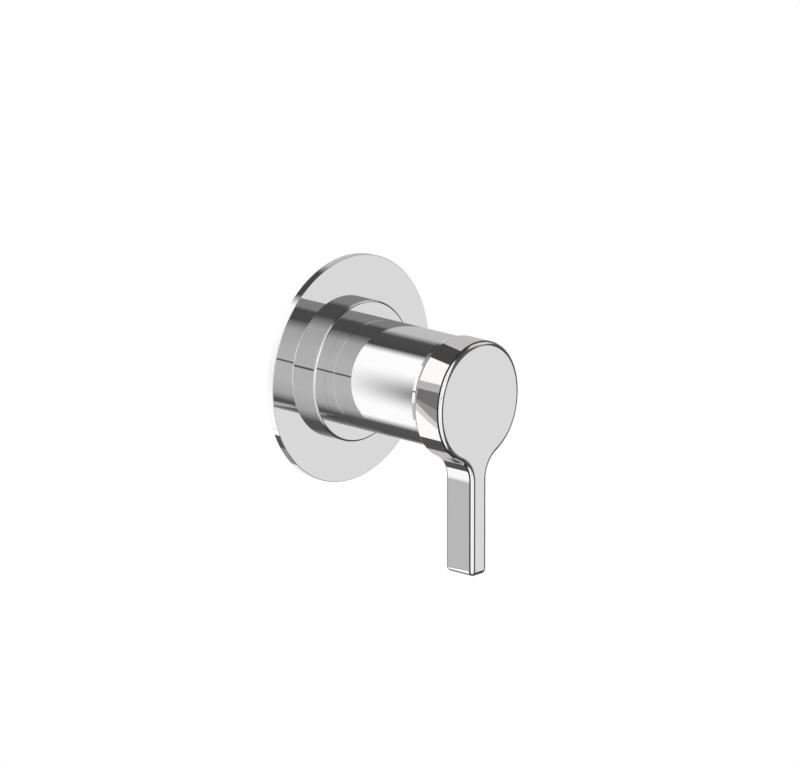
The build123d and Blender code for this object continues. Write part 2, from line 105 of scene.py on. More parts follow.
class MIXER_PG_sizes(bpy.types.PropertyGroup):
    """Edges and small forms of the pieces that are modelled again for a smooth polish."""

    ring_segments: IntProperty(
        name="Ring segments", description="Steps around a turned piece", default=256, min=64, max=720
    )
    flange_edge: FloatProperty(
        name="Flange edge", description="Rounding of the flange's front rim",
        default=0.0002, unit="LENGTH", precision=5,
    )
    collar_edge: FloatProperty(
        name="Collar edge", description="Rounding of the collar's front rim",
        default=0.0008, unit="LENGTH", precision=5,
    )
    sleeve_chamfer: FloatProperty(
        name="Sleeve chamfer", description="Chamfer on the sleeve's front rim",
        default=0.001, unit="LENGTH", precision=5,
    )
    front_edge: FloatProperty(
        name="Handle front edge", description="Rounding of the handle's front",
        default=0.0018, unit="LENGTH", precision=5,
    )
    back_edge: FloatProperty(
        name="Handle back edge", description="Rounding of the handle's back",
        default=0.0011, unit="LENGTH", precision=5,
    )
    head_drop: FloatProperty(
        name="Head drop", description="How far the head's lower round lies below its upper one",
        default=0.0022, unit="LENGTH", precision=5,
    )
    blade_width: FloatProperty(
        name="Blade width", description="Width of the handle's blade",
        default=0.0086, unit="LENGTH", precision=5,
    )
    blade_root: FloatProperty(
        name="Blade root", description="Radius between head and blade",
        default=0.011, unit="LENGTH", precision=5,
    )
    blade_tip: FloatProperty(
        name="Blade tip corner", description="Radius of the blade's tip corners",
        default=0.0022, unit="LENGTH", precision=5,
    )
    thread_pitch: FloatProperty(
        name="Thread pitch", description="Pitch of the pipe threads",
        default=0.001814, unit="LENGTH", precision=6,
    )
    thread_depth: FloatProperty(
        name="Thread depth", description="Depth of the pipe threads",
        default=0.00116, unit="LENGTH", precision=6,
    )


class MIXER_PG_finish(bpy.types.PropertyGroup):
    """Colours and polish of the materials."""

    chrome: FloatVectorProperty(
        name="Chrome", description="Colour of the polished plate",
        subtype="COLOR", default=(0.9, 0.9, 0.905),
    )
    chrome_haze: FloatProperty(
        name="Chrome haze", description="Roughness of the dullest chrome",
        default=0.02, min=0, max=1, subtype="FACTOR",
    )
    brass: FloatVectorProperty(
        name="Brass", description="Colour of clean brass", subtype="COLOR", default=(0.80, 0.58, 0.27)
    )
    brass_dark: FloatVectorProperty(
        name="Brass skin", description="Colour of the cast skin's low spots",
        subtype="COLOR", default=(0.52, 0.35, 0.15),
    )
    steel: FloatVectorProperty(
        name="Steel", description="Colour of the steel pieces", subtype="COLOR", default=(0.60, 0.60, 0.61)
    )
    white: FloatVectorProperty(
        name="White plastic", description="Colour of the pale mouldings",
        subtype="COLOR", default=(0.80, 0.80, 0.77),
    )
    dark: FloatVectorProperty(
        name="Dark plastic", description="Colour of the cartridge's shell",
        subtype="COLOR", default=(0.03, 0.032, 0.036),
    )
    red: FloatVectorProperty(
        name="Red plastic", description="Colour of the limiter ring",
        subtype="COLOR", default=(0.50, 0.03, 0.02),
    )
    ceramic: FloatVectorProperty(
        name="Ceramic", description="Colour of the valve discs", subtype="COLOR", default=(0.86, 0.84, 0.78)
    )
    rubber: FloatVectorProperty(
        name="Rubber", description="Colour of the seals", subtype="COLOR", default=(0.012, 0.012, 0.012)
    )
    foam: FloatVectorProperty(
        name="Foam", description="Colour of the flange's gasket",
        subtype="COLOR", default=(0.05, 0.05, 0.05),
    )


class MIXER_PG_stage(bpy.types.PropertyGroup):
    """Camera, wall and floor around the mixer."""

    camera_place: FloatVectorProperty(
        name="Camera place", description="Where the camera stands",
        subtype="TRANSLATION", default=(-3.1853, -2.9061, 1.2148),
    )
    camera_pan: FloatProperty(
        name="Pan", description="Turn of the view from +Y towards +X",
        default=radians(47.905), subtype="ANGLE",
    )
    camera_tilt: FloatProperty(
        name="Tilt", description="How far the view looks down", default=radians(15.81), subtype="ANGLE"
    )
    camera_lens: FloatProperty(
        name="Lens", description="Focal length on a 36 mm sensor, in mm", default=518.2
    )
    wall_width: FloatProperty(
        name="Wall width", description="Width of the wall panel", default=0.6, unit="LENGTH"
    )
    wall_hole: FloatProperty(
        name="Wall hole", description="Radius of the wall's opening", default=0.040, unit="LENGTH"
    )
    floor_drop: FloatProperty(
        name="Floor drop", description="Depth of the floor below the axis", default=0.9, unit="LENGTH"
    )
    floor_width: FloatProperty(
        name="Floor width", description="Width of the floor", default=6.0, unit="LENGTH"
    )


# Meshes


def depths(node):
    """(back, front) of a node, as depths from the wall face."""
    low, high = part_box(node)
    return -high.y, -low.y


def outer_radius(node):
    """Radius of a turned node, or half the width of one that is even about the axis."""
    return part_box(node)[1].x


def bore_radius(node):
    """Smallest distance of a node's surface from the valve's axis."""
    return min(hypot(v.co.x, v.co.z) for v in frame["nodes"][node].data.vertices)


def circle(radius, steps):
    """Points around a circle, as pairs."""
    turns = [2 * pi * k / steps for k in range(steps)]
    return [(radius * cos(turn), radius * sin(turn)) for turn in turns]


def arc(centre, radius, start, end, steps):
    """Points on an arc, both ends included, as 2-D vectors."""
    angles = [start + (end - start) * k / steps for k in range(steps + 1)]
    return [Vector((centre[0] + radius * cos(a), centre[1] + radius * sin(a))) for a in angles]


def rounded(corners):
    """Closed outline through corners (x, y, rounding radius), as 2-D vectors."""
    points = []
    for i, (x, y, radius) in enumerate(corners):
        here = Vector((x, y))
        if radius == 0:
            points.append(here)
            continue
        before = (Vector(corners[i - 1][:2]) - here).normalized()
        after = (Vector(corners[(i + 1) % len(corners)][:2]) - here).normalized()
        half = acos(max(-1, min(1, before.dot(after)))) / 2
        centre = here + (before + after).normalized() * radius / sin(half)
        start = here + before * radius / tan(half) - centre
        end = here + after * radius / tan(half) - centre
        turn = atan2(start.x * end.y - start.y * end.x, start.dot(end))
        first = atan2(start.y, start.x)
        points += arc(centre, radius, first, first + turn, FILLET_STEPS)
    return points


def quads(rows, count, closed=False):
    """Faces between neighbouring rows of points, each row a ring of count points."""
    faces = []
    for row in range(rows if closed else rows - 1):
        here, there = row * count, (row + 1) % rows * count
        for i in range(count):
            j = (i + 1) % count
            faces.append((here + i, here + j, there + j, there + i))
    return faces


def flipped(faces):
    """Four-sided faces turned over."""
    return [(a, d, c, b) for a, b, c, d in faces]


def clean_mesh(name, verts, faces):
    """Mesh with doubled points merged and its faces turned outwards."""
    mesh = bpy.data.meshes.new(name)
    mesh.from_pydata(verts, [], faces)
    bm = bmesh.new()
    bm.from_mesh(mesh)
    bmesh.ops.remove_doubles(bm, verts=bm.verts, dist=MERGE)
    bmesh.ops.dissolve_degenerate(bm, edges=bm.edges, dist=MERGE / 10)
    bmesh.ops.recalc_face_normals(bm, faces=bm.faces)
    bm.to_mesh(mesh)
    bm.free()
    return mesh


def turned_mesh(name, outline, segments):
    """Mesh of a closed outline of (radius, depth) points spun about the valve's axis."""
    verts = []
    for x, z in circle(1, segments):
        verts += [(p[0] * x, -p[1], p[0] * z) for p in outline]
    return clean_mesh(name, verts, quads(segments, len(outline), closed=True))


def box_mesh(name, low, high):
    """Mesh of a box between two corners."""
    x, y, z = zip(low, high)
    verts = [(x[i], y[j], z[k]) for i in (0, 1) for j in (0, 1) for k in (0, 1)]
    faces = [(0, 1, 3, 2), (4, 6, 7, 5), (0, 4, 5, 1), (2, 3, 7, 6), (0, 2, 6, 4), (1, 5, 7, 3)]
    return clean_mesh(name, verts, faces)


def link(name, mesh):
    """Object that shows a mesh."""
    piece = bpy.data.objects.new(name, mesh)
    bpy.context.scene.collection.objects.link(piece)
    return piece


def cut(piece, cutters):
    """Cut meshes out of a piece, one after another."""
    for mesh in cutters:
        tool = link("cutter", mesh)
        change = piece.modifiers.new("cut", "BOOLEAN")
        change.operation = "DIFFERENCE"
        change.solver = "EXACT"
        change.object = tool
        bpy.context.view_layer.update()
        evaluated = piece.evaluated_get(bpy.context.evaluated_depsgraph_get())
        result = bpy.data.meshes.new_from_object(evaluated)
        piece.modifiers.clear()
        piece.data = result
        bpy.data.objects.remove(tool)


def dress(piece, node):
    """Smooth a piece, give it the finish of the node that it replaces and let it ride on that node's body."""
    piece.data.shade_smooth()
    piece.data.set_sharp_from_angle(angle=SMOOTH_ANGLE)
    level = piece.modifiers.new("even normals", "WEIGHTED_NORMAL")
    level.keep_sharp = True
    slot = SLOT_OF[node]
    piece.data.materials.clear()
    piece.data.materials.append(material(slot))
    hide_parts(node)
    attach(piece, BODY_OF[node])


def turned_skin(name, corners, node):
    """Turn a piece from its corners (radius, depth, rounding) and let it stand for a node."""
    segments = bpy.context.scene.mixer_sizes.ring_segments
    dress(link(name, turned_mesh(name, rounded(corners), segments)), node)


# Shader nodes


def set_inputs(node, inputs):
    """Set a node's inputs by their names, with _ for a space. Returns the node."""
    for name, value in inputs.items():
        node.inputs[name.replace("_", " ")].default_value = value
    return node


def add_node(tree, kind, **inputs):
    """Shader node with some of its inputs set."""
    return set_inputs(tree.nodes.new(kind), inputs)


def add_group(tree, group, **inputs):
    """Node of a shader group with some of its inputs set."""
    node = tree.nodes.new("ShaderNodeGroup")
    node.node_tree = group
    return set_inputs(node, inputs)


def math_node(tree, operation, first, second=None):
    """Math node whose operands are sockets or numbers. Returns its output."""
    node = tree.nodes.new("ShaderNodeMath")
    node.operation = operation
    for place, operand in enumerate((first, second)):
        if operand is None:
            continue
        if isinstance(operand, (int, float)):
            node.inputs[place].default_value = operand
        else:
            tree.links.new(operand, node.inputs[place])
    return node.outputs[0]


def map_range(tree, value, low, high, to_low=0.0, to_high=1.0, smooth=False):
    """Value carried from one range to another, held at its ends. Returns the output."""
    node = tree.nodes.new("ShaderNodeMapRange")
    node.interpolation_type = "SMOOTHSTEP" if smooth else "LINEAR"
    for name, number in (("From Min", low), ("From Max", high), ("To Min", to_low), ("To Max", to_high)):
        node.inputs[name].default_value = number
    tree.links.new(value, node.inputs["Value"])
    return node.outputs["Result"]


def mix_colours(tree, factor, first, second):
    """Colour mix. The colours are sockets or RGB values. Returns its output."""
    node = tree.nodes.new("ShaderNodeMix")
    node.data_type = "RGBA"
    tree.links.new(factor, node.inputs["Factor"])
    for socket, colour in zip((node.inputs[6], node.inputs[7]), (first, second)):
        if hasattr(colour, "links"):
            tree.links.new(colour, socket)
        else:
            socket.default_value = (*colour, 1)
    return node.outputs[2]


def position(tree, space="Object"):
    """Outputs X, Y and Z of the place in a space, or of the direction in a sky's Generated space."""
    place = tree.nodes.new("ShaderNodeTexCoord")
    split = tree.nodes.new("ShaderNodeSeparateXYZ")
    tree.links.new(place.outputs[space], split.inputs[0])
    return split.outputs


def turn_share(tree, at):
    """Angle about the valve's axis, from +X towards +Z, as a share of a full turn."""
    angle = math_node(tree, "ARCTAN2", at["Z"], at["X"])
    return math_node(tree, "FRACT", math_node(tree, "DIVIDE", angle, 2 * pi))


def show_mix(tree, share, first, second, output="ShaderNodeOutputMaterial"):
    """Show a mix of two shaders: the first where the share is 0, the second where it is 1."""
    choose = tree.nodes.new("ShaderNodeMixShader")
    leave = tree.nodes.new(output)
    tree.links.new(share, choose.inputs[0])
    tree.links.new(first.outputs[0], choose.inputs[1])
    tree.links.new(second.outputs[0], choose.inputs[2])
    tree.links.new(choose.outputs[0], leave.inputs["Surface"])


def group_tree(name, inputs, outputs):
    """New shader node group. Returns it with its input and output nodes."""
    tree = bpy.data.node_groups.new(name, "ShaderNodeTree")
    for label, kind, default in inputs:
        tree.interface.new_socket(label, in_out="INPUT", socket_type=kind).default_value = default
    for label, kind in outputs:
        tree.interface.new_socket(label, in_out="OUTPUT", socket_type=kind)
    return tree, tree.nodes.new("NodeGroupInput"), tree.nodes.new("NodeGroupOutput")


def scale_textures(tree, enter, textures):
    """Lay textures in object space, each scaled by the group input that is named beside it."""
    place = tree.nodes.new("ShaderNodeTexCoord")
    for texture, scale in textures:
        tree.links.new(place.outputs["Object"], texture.inputs["Vector"])
        tree.links.new(enter.outputs[scale], texture.inputs["Scale"])


def mottle_group():
    """Two tones and two roughnesses in soft cloudy patches, with a fine speckle in them."""
    name, patch_share, speckle_share = "surface mottle", 0.7, 0.3
    patch_range, speckle_range = (0.35, 0.65), (0.4, 0.7)
    if name in bpy.data.node_groups:
        return bpy.data.node_groups[name]
    tree, enter, leave = group_tree(
        name,
        [
            ("Patch Scale", "NodeSocketFloat", 60.0),
            ("Speckle Scale", "NodeSocketFloat", 900.0),
            ("Light", "NodeSocketColor", (0.8, 0.8, 0.8, 1)),
            ("Dark", "NodeSocketColor", (0.7, 0.7, 0.7, 1)),
            ("Smooth", "NodeSocketFloat", 0.2),
            ("Rough", "NodeSocketFloat", 0.4),
        ],
        [("Color", "NodeSocketColor"), ("Roughness", "NodeSocketFloat")],
    )
    patches = add_node(tree, "ShaderNodeTexNoise", Detail=3.0, Roughness=0.55)
    speckle = add_node(tree, "ShaderNodeTexNoise", Detail=2.0, Roughness=0.6)
    scale_textures(tree, enter, ((patches, "Patch Scale"), (speckle, "Speckle Scale")))
    broad = map_range(tree, patches.outputs["Fac"], *patch_range, 0.0, patch_share)
    fine = map_range(tree, speckle.outputs["Fac"], *speckle_range, 0.0, speckle_share)
    mask = math_node(tree, "ADD", broad, fine)
    tone = mix_colours(tree, mask, enter.outputs["Light"], enter.outputs["Dark"])
    tree.links.new(tone, leave.inputs["Color"])
    spread = math_node(tree, "SUBTRACT", enter.outputs["Rough"], enter.outputs["Smooth"])
    rough = math_node(tree, "ADD", enter.outputs["Smooth"], math_node(tree, "MULTIPLY", spread, mask))
    tree.links.new(rough, leave.inputs["Roughness"])
    return tree


def grain_group():
    """Height of a cast, moulded or foamed skin: coarse lumps with a finer grain on them."""
    name, grain_share = "skin grain", 0.5
    if name in bpy.data.node_groups:
        return bpy.data.node_groups[name]
    tree, enter, leave = group_tree(
        name,
        [("Lump Scale", "NodeSocketFloat", 300.0), ("Grain Scale", "NodeSocketFloat", 1500.0)],
        [("Height", "NodeSocketFloat")],
    )
    lumps = add_node(tree, "ShaderNodeTexNoise", Detail=4.0, Roughness=0.6)
    grain = add_node(tree, "ShaderNodeTexVoronoi", Randomness=1.0)
    scale_textures(tree, enter, ((lumps, "Lump Scale"), (grain, "Grain Scale")))
    fine = math_node(tree, "MULTIPLY", grain.outputs["Distance"], grain_share)
    tree.links.new(math_node(tree, "ADD", lumps.outputs["Fac"], fine), leave.inputs["Height"])
    return tree


def lathe_group():
    """Height of the fine rings that a lathe leaves about the valve's axis."""
    name = "lathe rings"
    if name in bpy.data.node_groups:
        return bpy.data.node_groups[name]
    tree, enter, leave = group_tree(
        name, [("Pitch", "NodeSocketFloat", 0.0002)], [("Height", "NodeSocketFloat")]
    )
    at = position(tree)
    across = math_node(tree, "POWER", at["X"], 2.0)
    upwards = math_node(tree, "POWER", at["Z"], 2.0)
    radius = math_node(tree, "SQRT", math_node(tree, "ADD", across, upwards))
    along = math_node(tree, "ADD", radius, at["Y"])
    turns = math_node(tree, "DIVIDE", along, enter.outputs["Pitch"])
    height = math_node(tree, "SINE", math_node(tree, "MULTIPLY", turns, 2 * pi))
    tree.links.new(height, leave.inputs["Height"])
    return tree


def new_material(name, metallic=0.0):
    """New material, with its tree and its Principled shader."""
    made = bpy.data.materials.new(name)
    made.use_nodes = True
    shader = made.node_tree.nodes["Principled BSDF"]
    shader.inputs["Metallic"].default_value = metallic
    return made, made.node_tree, shader


def mottle_node(tree, light, dark, smooth, rough, patch=60.0, speckle=900.0):
    """Node of the mottle group between two colours and two roughnesses."""
    return add_group(
        tree, mottle_group(), Patch_Scale=patch, Speckle_Scale=speckle,
        Light=(*light, 1), Dark=(*dark, 1), Smooth=smooth, Rough=rough,
    )


def mottled(tree, shader, light, dark, **look):
    """Drive a shader's colour and roughness with the mottle group."""
    node = mottle_node(tree, light, dark, **look)
    tree.links.new(node.outputs["Color"], shader.inputs["Base Color"])
    tree.links.new(node.outputs["Roughness"], shader.inputs["Roughness"])


def raised(tree, shader, height, depth):
    """Raise a shader's surface by a height, as deep as given in metres."""
    bump = add_node(tree, "ShaderNodeBump", Strength=1.0, Distance=depth)
    tree.links.new(height, bump.inputs["Height"])
    tree.links.new(bump.outputs["Normal"], shader.inputs["Normal"])


def grained(tree, shader, lumps, grain, depth):
    """Give a shader a cast, moulded or foamed skin."""
    skin = add_group(tree, grain_group(), Lump_Scale=lumps, Grain_Scale=grain)
    raised(tree, shader, skin.outputs["Height"], depth)


def darker(colour, share):
    """Colour with its light scaled to a share."""
    return tuple(channel * share for channel in colour)


def grey(light):
    """Even colour of a brightness."""
    return (light, light, light)


# Materials


def chrome_plate(finish):
    """Bright polished plate with a trace of haze."""
    made, tree, shader = new_material("polished_chrome", metallic=1.0)
    plate, haze = finish.chrome, finish.chrome_haze
    dull = darker(plate, share=0.985)
    mottled(tree, shader, plate, dull, smooth=0.0, rough=haze, patch=45.0, speckle=600.0)
    return made


def cast_brass(finish):
    """Sand-cast skin, bright and ringed where the neck and the pipe mouths are machined."""
    mouth_depth, neck_fade, polish = 0.0007, 0.004, 0.24
    skin_depth, ring_share = 0.00022, 0.02
    made, tree, shader = new_material("brass_casting", metallic=1.0)
    at = position(tree)
    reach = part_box("valve_body")[1]
    machined = map_range(tree, at["Y"], neck_fade, 0.0)
    for way, end in ((math_node(tree, "ABSOLUTE", at["X"]), reach.x), (at["Z"], reach.z)):
        mouth = map_range(tree, way, end - mouth_depth, end - mouth_depth / 2)
        machined = math_node(tree, "MAXIMUM", machined, mouth)
    mottle = mottle_node(
        tree, finish.brass, finish.brass_dark, smooth=0.34, rough=0.58, patch=140.0, speckle=1400.0
    )
    colour = mix_colours(tree, machined, mottle.outputs["Color"], finish.brass)
    tree.links.new(colour, shader.inputs["Base Color"])
    smoothing = math_node(tree, "MULTIPLY", machined, polish)
    rough = math_node(tree, "SUBTRACT", mottle.outputs["Roughness"], smoothing)
    tree.links.new(rough, shader.inputs["Roughness"])
    skin = add_group(tree, grain_group(), Lump_Scale=420.0, Grain_Scale=1600.0)
    rings = add_group(tree, lathe_group(), Pitch=0.00035)
    left = math_node(tree, "SUBTRACT", 1.0, machined)
    cast = math_node(tree, "MULTIPLY", skin.outputs["Height"], left)
    turned = math_node(tree, "MULTIPLY", rings.outputs["Height"], ring_share)
    raised(tree, shader, math_node(tree, "ADD", cast, turned), skin_depth)
    return made


def turned_brass(finish):
    """Brass with fine lathe rings."""
    made, tree, shader = new_material("brass_turning", metallic=1.0)
    mottled(tree, shader, finish.brass, darker(finish.brass, share=0.86), smooth=0.16, rough=0.28)
    rings = add_group(tree, lathe_group(), Pitch=0.00025)
    raised(tree, shader, rings.outputs["Height"], depth=0.000004)
    return made


def steel(finish):
    """Turned and plated steel."""
    made, tree, shader = new_material("plated_steel", metallic=1.0)
    dull = darker(finish.steel, share=0.8)
    mottled(tree, shader, finish.steel, dull, smooth=0.22, rough=0.36, patch=120.0, speckle=1500.0)
    return made


def moulded(name, colour, smooth, rough):
    """Moulded plastic or rubber with a fine eroded skin."""
    made, tree, shader = new_material(name)
    mottled(tree, shader, colour, darker(colour, share=0.9), smooth=smooth, rough=rough)
    grained(tree, shader, lumps=700.0, grain=2600.0, depth=0.00002)
    return made


def ceramic(finish):
    """Lapped ceramic, with a faint speckle under the gloss."""
    made, tree, shader = new_material("lapped_ceramic")
    dull = darker(finish.ceramic, share=0.94)
    mottled(tree, shader, finish.ceramic, dull, smooth=0.06, rough=0.14, patch=200.0, speckle=2600.0)
    return made


def foam(finish):
    """Closed-cell foam."""
    made, tree, shader = new_material("closed_cell_foam")
    deep = darker(finish.foam, share=0.5)
    mottled(tree, shader, finish.foam, deep, smooth=0.8, rough=0.95, patch=300.0, speckle=2200.0)
    grained(tree, shader, lumps=500.0, grain=2200.0, depth=0.00025)
    return made


MATERIALS = {
    "chrome_plate": chrome_plate,
    "cast_brass": cast_brass,
    "turned_brass": turned_brass,
    "steel": steel,
    "white_plastic": lambda finish: moulded("pale_moulding", finish.white, smooth=0.34, rough=0.48),
    "dark_plastic": lambda finish: moulded("dark_moulding", finish.dark, smooth=0.36, rough=0.5),
    "red_plastic": lambda finish: moulded("red_moulding", finish.red, smooth=0.34, rough=0.48),
    "ceramic": ceramic,
    "rubber": lambda finish: moulded("black_rubber", finish.rubber, smooth=0.5, rough=0.68),
    "foam": foam,
}
FINISHES = {}


def material(slot):
    """Material of one of the record's slots, made once."""
    if slot not in FINISHES:
        FINISHES[slot] = MATERIALS[slot](bpy.context.scene.mixer_finish)
    return FINISHES[slot]


# Pieces


def handle_outline(sizes, head_radius, tip):
    """Closed outline of head and blade seen from the room, as (point, outward normal) in X and Z."""
    half, root, corner = sizes.blade_width / 2, sizes.blade_root, sizes.blade_tip
    root_x = half + root
    root_drop = sqrt((head_radius + root) ** 2 - root_x**2)
    root_z = -sizes.head_drop - root_drop
    lean = atan2(-root_drop, root_x)
    rows = []

    def add_arc(centre, radius, start, end, steps, outward):
        for point in arc(centre, radius, start, end, steps):
            if (rows[-1][0] - point).length > MERGE:
                rows.append((point, (point - Vector(centre)) / radius * outward))

    # The head's centre drops smoothly at the sides, so that reflections run over them without a break
    for k in range(HEAD_STEPS + 1):
        turn = lean + (pi - 2 * lean) * k / HEAD_STEPS
        share = min(1, max(0, (HEAD_BLEND - min(turn, pi - turn)) / (2 * HEAD_BLEND)))
        drop = sizes.head_drop * share**2 * (3 - 2 * share)
        slope = sizes.head_drop * 3 * share * (1 - share) / HEAD_BLEND
        spoke = Vector((cos(turn), sin(turn))) * head_radius
        normal = spoke + Vector((copysign(slope, cos(turn)), 0))
        rows.append((spoke - Vector((0, drop)), normal.normalized()))
    add_arc((-root_x, root_z), root, -lean, 0, ROOT_STEPS, -1)
    add_arc((-half + corner, tip + corner), corner, pi, 1.5 * pi, TIP_STEPS, 1)
    add_arc((half - corner, tip + corner), corner, 1.5 * pi, 2 * pi, TIP_STEPS, 1)
    add_arc((root_x, root_z), root, pi, pi + lean, ROOT_STEPS, -1)
    return rows[:-1]


def handle_mesh(sizes):
    """Solid handle with a rounded front and back, before its hollow is cut."""
    back, front = depths("handle")
    outline = handle_outline(sizes, outer_radius("handle"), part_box("handle")[0].z)
    turns = [k / FILLET_STEPS * pi / 2 for k in range(FILLET_STEPS + 1)]
    profile = [(sizes.back_edge * (1 - sin(t)), back + sizes.back_edge * (1 - cos(t))) for t in turns]
    profile += [(sizes.front_edge * (1 - cos(t)), front - sizes.front_edge * (1 - sin(t))) for t in turns]
    verts, count = [], len(outline)
    for inset, depth in profile:
        verts += [(p.x - n.x * inset, -depth, p.y - n.y * inset) for p, n in outline]
    faces = quads(len(profile), count)
    faces.append(tuple(range(count)))
    faces.append(tuple(range(len(verts) - count, len(verts))))
    return clean_mesh("handle_skin", verts, faces)


def handle_cutters():
    """Hollow behind the head, the spindle's socket and the grub screw's hole."""
    pivot = -JOINTS["flow"]["pos_m"][1]
    tilt = radians(JOINTS["flow"]["range_deg"][1])
    sleeve_radius = outer_radius("sleeve")
    sleeve_reach = depths("sleeve")[1] - pivot
    cap_reach = depths("cover_cap")[1] - pivot
    ball = hypot(sleeve_radius, sleeve_reach) + TILT_CLEARANCE
    floor = pivot + sleeve_reach * cos(tilt) + sleeve_radius * sin(tilt) + TILT_CLEARANCE
    under_boss = (BOSS_RADIUS + cap_reach * sin(tilt)) / cos(tilt)
    boss_back = pivot + cap_reach * cos(tilt) + under_boss * sin(tilt) + TILT_CLEARANCE
    mouth = depths("handle")[0] - TILT_CLEARANCE

    # A ball about the pivot, from the mouth to the floor, that leaves the boss and its web standing
    first, last = acos((mouth - pivot) / ball), acos((floor - pivot) / ball)
    outline = [(0, mouth)]
    outline += [(p.y, pivot + p.x) for p in arc((0, 0), ball, first, last, DOME_STEPS)]
    outline += [(BOSS_RADIUS, floor), (BOSS_RADIUS, boss_back), (0, boss_back)]
    hollow = link("hollow", turned_mesh("hollow", outline, HOLLOW_STEPS))
    half_web = GRUB_WEB / 2
    cut(hollow, [box_mesh("web", (0, -2 * floor, -half_web), (2 * ball, -boss_back, half_web))])
    hollow_mesh = hollow.data
    bpy.data.objects.remove(hollow)

    half = outer_radius("spindle") + SLIP_FIT
    socket_end = depths("spindle")[1] + SLIP_FIT
    socket = box_mesh("socket", (-half, -socket_end, -half), (half, -mouth, half))

    grub_y = -sum(depths("grub_screw")) / 2
    hole = [(x, grub_y + y, z) for x in (0, 2 * ball) for y, z in circle(GRUB_HOLE, HOLE_STEPS)]
    faces = quads(2, HOLE_STEPS)
    faces += [tuple(range(HOLE_STEPS)), tuple(range(HOLE_STEPS, 2 * HOLE_STEPS))]
    return [hollow_mesh, socket, clean_mesh("grub_hole", hole, faces)]


def thread_mesh(sizes, bore, length):
    """Wall of a pipe thread about +Z with its mouth at Z = 0. Returns its points, faces and mouth radius.

    The thread is countersunk at the mouth and runs out over the last pitch.
    """
    pitch, tooth = sizes.thread_pitch, sizes.thread_depth
    rows = int(length / pitch * PITCH_STEPS)
    mouth = bore + tooth + COUNTERSINK
    verts = []
    for i in range(rows + 1):
        depth = length * i / rows
        fade = min(1, (length - depth) / pitch)
        for k, (x, y) in enumerate(circle(1, THREAD_STEPS)):
            phase = (depth / pitch - k / THREAD_STEPS) % 1
            flank = min(1, max(0, FLANK_SLOPE * (0.5 - abs(phase - 0.5))))
            radius = max(bore + tooth * flank * fade, mouth - depth)
            verts.append((radius * x, radius * y, -depth))
    return verts, flipped(quads(rows + 1, THREAD_STEPS)), mouth


def plain_mouth(bm, end, axis, bore, length):
    """Faces of a plain pipe mouth, its wall and its end ring, and the ring's outer radius."""
    near_wall, along_wall, square, near_end, ring_reach = 0.03, 0.1, 0.9, 1e-5, 1.6

    def radius_at(place):
        off = place - end
        return (off - axis * off.dot(axis)).length

    faces, rim = [], 0.0
    for face in bm.faces:
        centre = face.calc_center_median()
        along, radius = (centre - end).dot(axis), radius_at(centre)
        facing = face.normal.dot(axis)
        if -length < along < 0 and abs(radius - bore) < near_wall * bore and abs(facing) < along_wall:
            faces.append(face)
        elif abs(along) < near_end and radius < ring_reach * bore and facing > square:
            faces.append(face)
            rim = max(rim, max(radius_at(v.co) for v in face.verts))
    return faces, rim


def threaded_body(sizes):
    """The body's own mesh, with the plain walls of its three pipe mouths replaced by threads."""
    mesh = frame["nodes"]["valve_body"].data.copy()
    bm = bmesh.new()
    bm.from_mesh(mesh)
    bmesh.ops.remove_doubles(bm, verts=bm.verts, dist=MERGE)
    for name in ("hot_inlet", "cold_inlet", "outlet"):
        mount = next(m for m in frame["record"]["mounts"] if m["name"] == name)
        axis = Vector(mount["axis"]).normalized()
        bore, length = mount["dims"]["r_mm"] / 1000, mount["dims"]["length_mm"] / 1000
        end = Vector(mount["pos_m"]) + axis * length / 2
        plain, rim = plain_mouth(bm, end, axis, bore, length)
        bmesh.ops.delete(bm, geom=plain, context="FACES")
        verts, faces, mouth = thread_mesh(sizes, bore, length)
        turn = axis.to_track_quat("Z", "Y").to_matrix()
        made = [bm.verts.new(end + turn @ Vector(v)) for v in verts]
        outer = [bm.verts.new(end + (v.co - end) * rim / mouth) for v in made[:THREAD_STEPS]]
        for face in faces:
            bm.faces.new([made[i] for i in face])
        for k in range(THREAD_STEPS):
            j = (k + 1) % THREAD_STEPS
            bm.faces.new((made[k], made[j], outer[j], outer[k]))
    bm.to_mesh(mesh)
    bm.free()
    return mesh


class MIXER_OT_wall_flange(bpy.types.Operator):
    """Turn the thin flange that lies on the wall, with its gasket groove"""

    bl_idname = "mixer.wall_flange"
    bl_label = "Wall flange"

    def execute(self, context):
        back, front = depths("wall_flange")
        hole, rim = bore_radius("wall_flange"), outer_radius("wall_flange")
        groove_depth = depths("flange_gasket")[1]
        groove_inner = bore_radius("flange_gasket") - SLIP_FIT
        groove_outer = outer_radius("flange_gasket") + SLIP_FIT
        corners = [
            (hole, front, 0),
            (rim, front, context.scene.mixer_sizes.flange_edge),
            (rim, back, 0),
            (groove_outer, back, 0),
            (groove_outer, groove_depth, 0),
            (groove_inner, groove_depth, 0),
            (groove_inner, back, 0),
            (hole, back, 0),
        ]
        turned_skin("wall_flange_skin", corners, "wall_flange")
        return {"FINISHED"}


